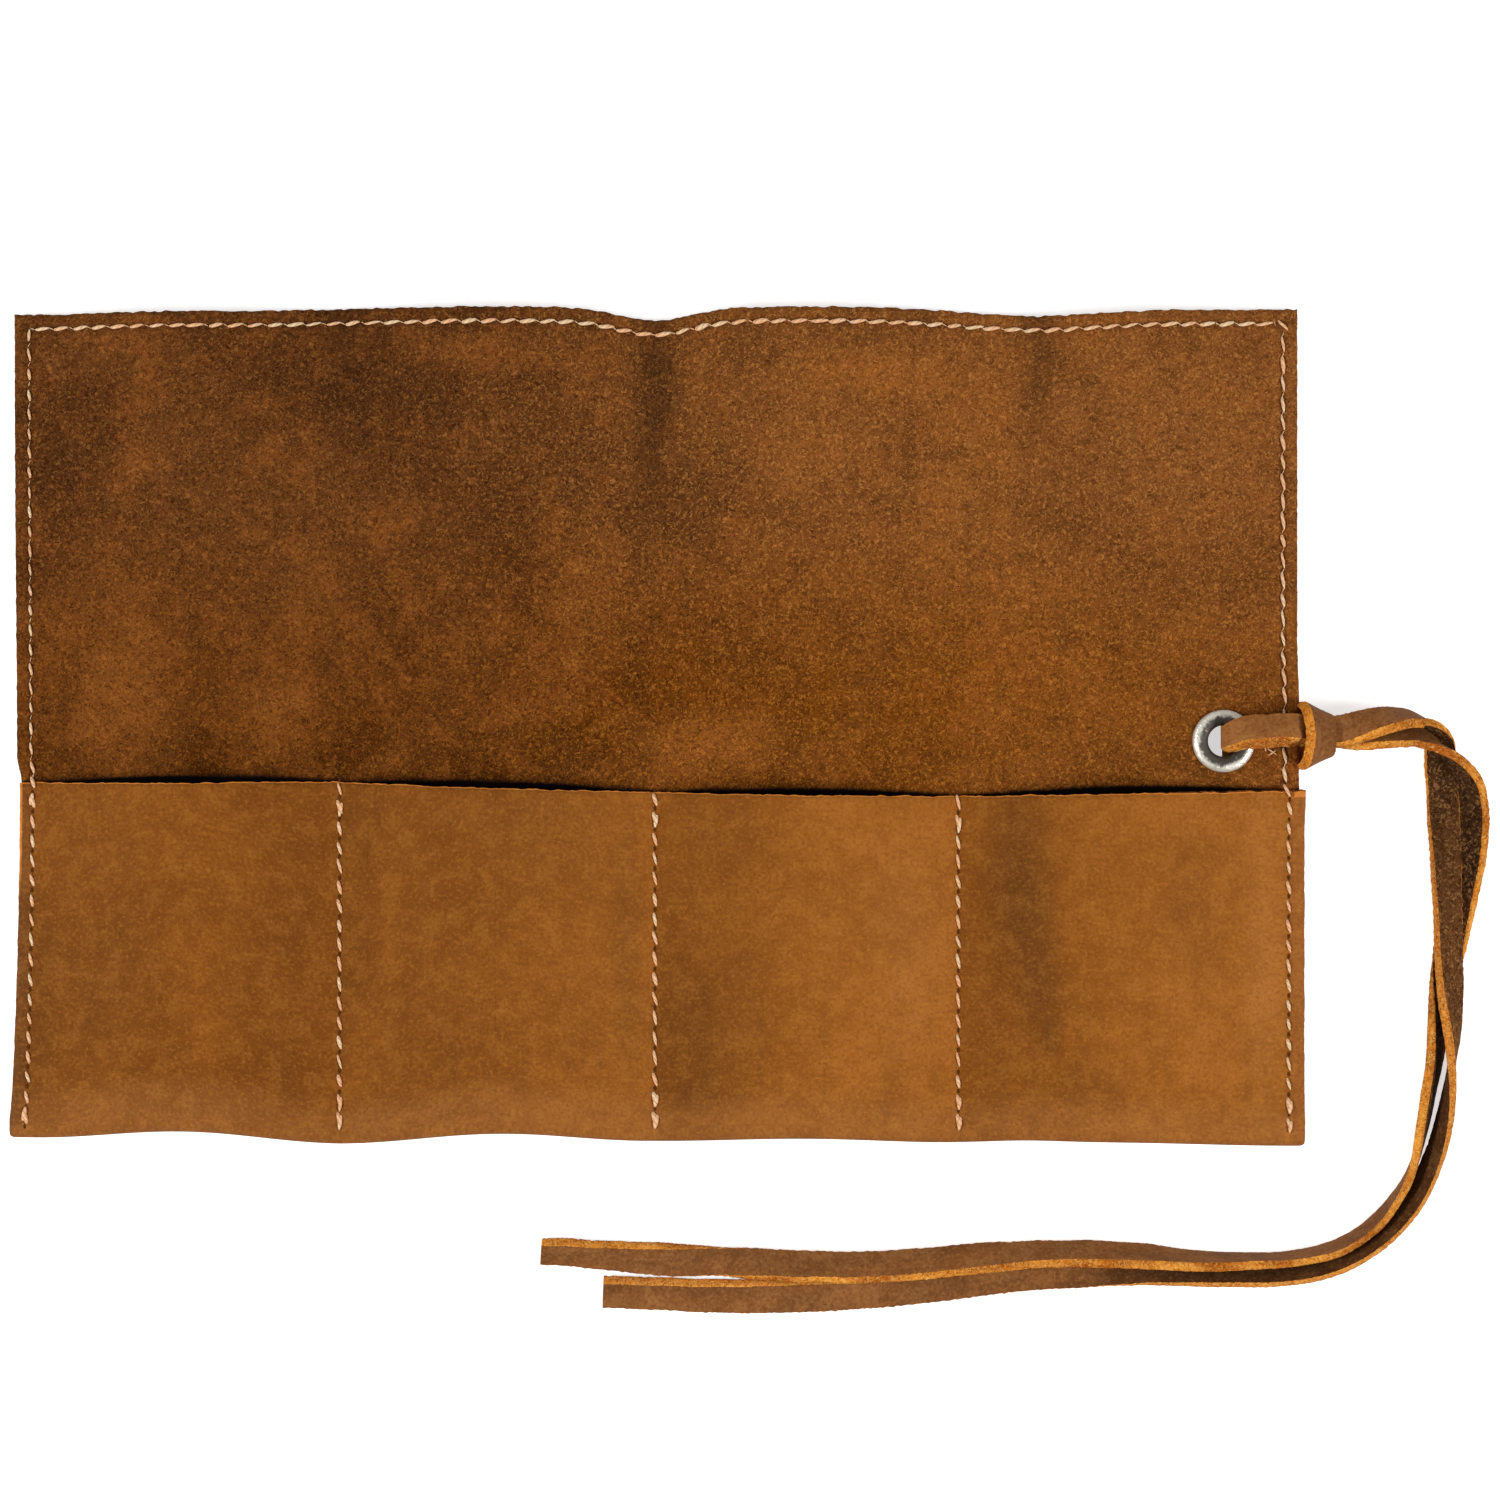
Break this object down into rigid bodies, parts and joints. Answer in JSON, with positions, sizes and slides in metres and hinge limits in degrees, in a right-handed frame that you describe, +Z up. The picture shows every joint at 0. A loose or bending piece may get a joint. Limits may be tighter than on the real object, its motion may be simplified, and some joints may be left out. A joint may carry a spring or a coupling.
{
  "type": "leather roll with pockets",
  "caption": "Leather roll laid open, with a row of stitched pockets and a leather lace hitched through an eyelet; rolls up towards the lace and ties.",
  "frame": {"origin": "middle of the opened roll's underside, on the surface that it lies on; the lace isn't counted", "axes": "+X along the roll towards the eyelet and lace, +Y towards the top edge, away from the pockets' fold, +Z up out of the pocket side"},
  "size_m": [0.3289, 0.2234, 0.0134],
  "materials": {
    "suede": "flesh side out, matt and napped",
    "smooth_leather": "grain side out, waxed, soft sheen",
    "lace_leather": "waxed grain with raw orange edges",
    "thread": "twisted, matt",
    "nickel": "antique nickel plate, dulled inside"
  },
  "bodies": {
    "bay_1": {"back_bay_1": "suede", "pocket_bay_1": "smooth_leather", "border_stitching_bay_1": "thread"},
    "bay_2": {"back_bay_2": "suede", "pocket_bay_2": "smooth_leather", "border_stitching_bay_2": "thread"},
    "bay_3": {"back_bay_3": "suede", "pocket_bay_3": "smooth_leather", "border_stitching_bay_3": "thread"},
    "bay_4": {"back_bay_4": "suede", "pocket_bay_4": "smooth_leather", "border_stitching_bay_4": "thread", "eyelet": "nickel", "eyelet_washer": "nickel", "lace_hitch": "lace_leather", "lace_tail_short": "lace_leather", "lace_tail_long": "lace_leather"},
    "seam_1": {"back_seam_1": "suede", "pocket_seam_1": "smooth_leather", "border_stitching_seam_1": "thread", "divider_stitching_1": "thread"},
    "seam_2": {"back_seam_2": "suede", "pocket_seam_2": "smooth_leather", "border_stitching_seam_2": "thread", "divider_stitching_2": "thread"},
    "seam_3": {"back_seam_3": "suede", "pocket_seam_3": "smooth_leather", "border_stitching_seam_3": "thread", "divider_stitching_3": "thread"}
  },
  "joints": [
    {"name": "fold_6", "type": "hinge", "parent": "bay_4", "child": "seam_3", "pos_m": [0.075, 0, 0.0065], "axis": [0, 1, 0], "range_deg": [0, 48]},
    {"name": "fold_5", "type": "hinge", "parent": "seam_3", "child": "bay_3", "pos_m": [0.059, 0, 0.0065], "axis": [0, 1, 0], "range_deg": [0, 48]},
    {"name": "fold_4", "type": "hinge", "parent": "bay_3", "child": "seam_2", "pos_m": [0.0077, 0, 0.0065], "axis": [0, 1, 0], "range_deg": [0, 48]},
    {"name": "fold_3", "type": "hinge", "parent": "seam_2", "child": "bay_2", "pos_m": [-0.0083, 0, 0.0065], "axis": [0, 1, 0], "range_deg": [0, 48]},
    {"name": "fold_2", "type": "hinge", "parent": "bay_2", "child": "seam_1", "pos_m": [-0.0623, 0, 0.0065], "axis": [0, 1, 0], "range_deg": [0, 75]},
    {"name": "fold_1", "type": "hinge", "parent": "seam_1", "child": "bay_1", "pos_m": [-0.0783, 0, 0.0065], "axis": [0, 1, 0], "range_deg": [0, 75]}
  ],
  "couplings": [
    {"joint": "fold_5", "follows": "fold_6", "ratio": 1},
    {"joint": "fold_4", "follows": "fold_6", "ratio": 1},
    {"joint": "fold_3", "follows": "fold_6", "ratio": 1},
    {"joint": "fold_2", "follows": "fold_6", "ratio": 1.5625},
    {"joint": "fold_1", "follows": "fold_6", "ratio": 1.5625}
  ]
}
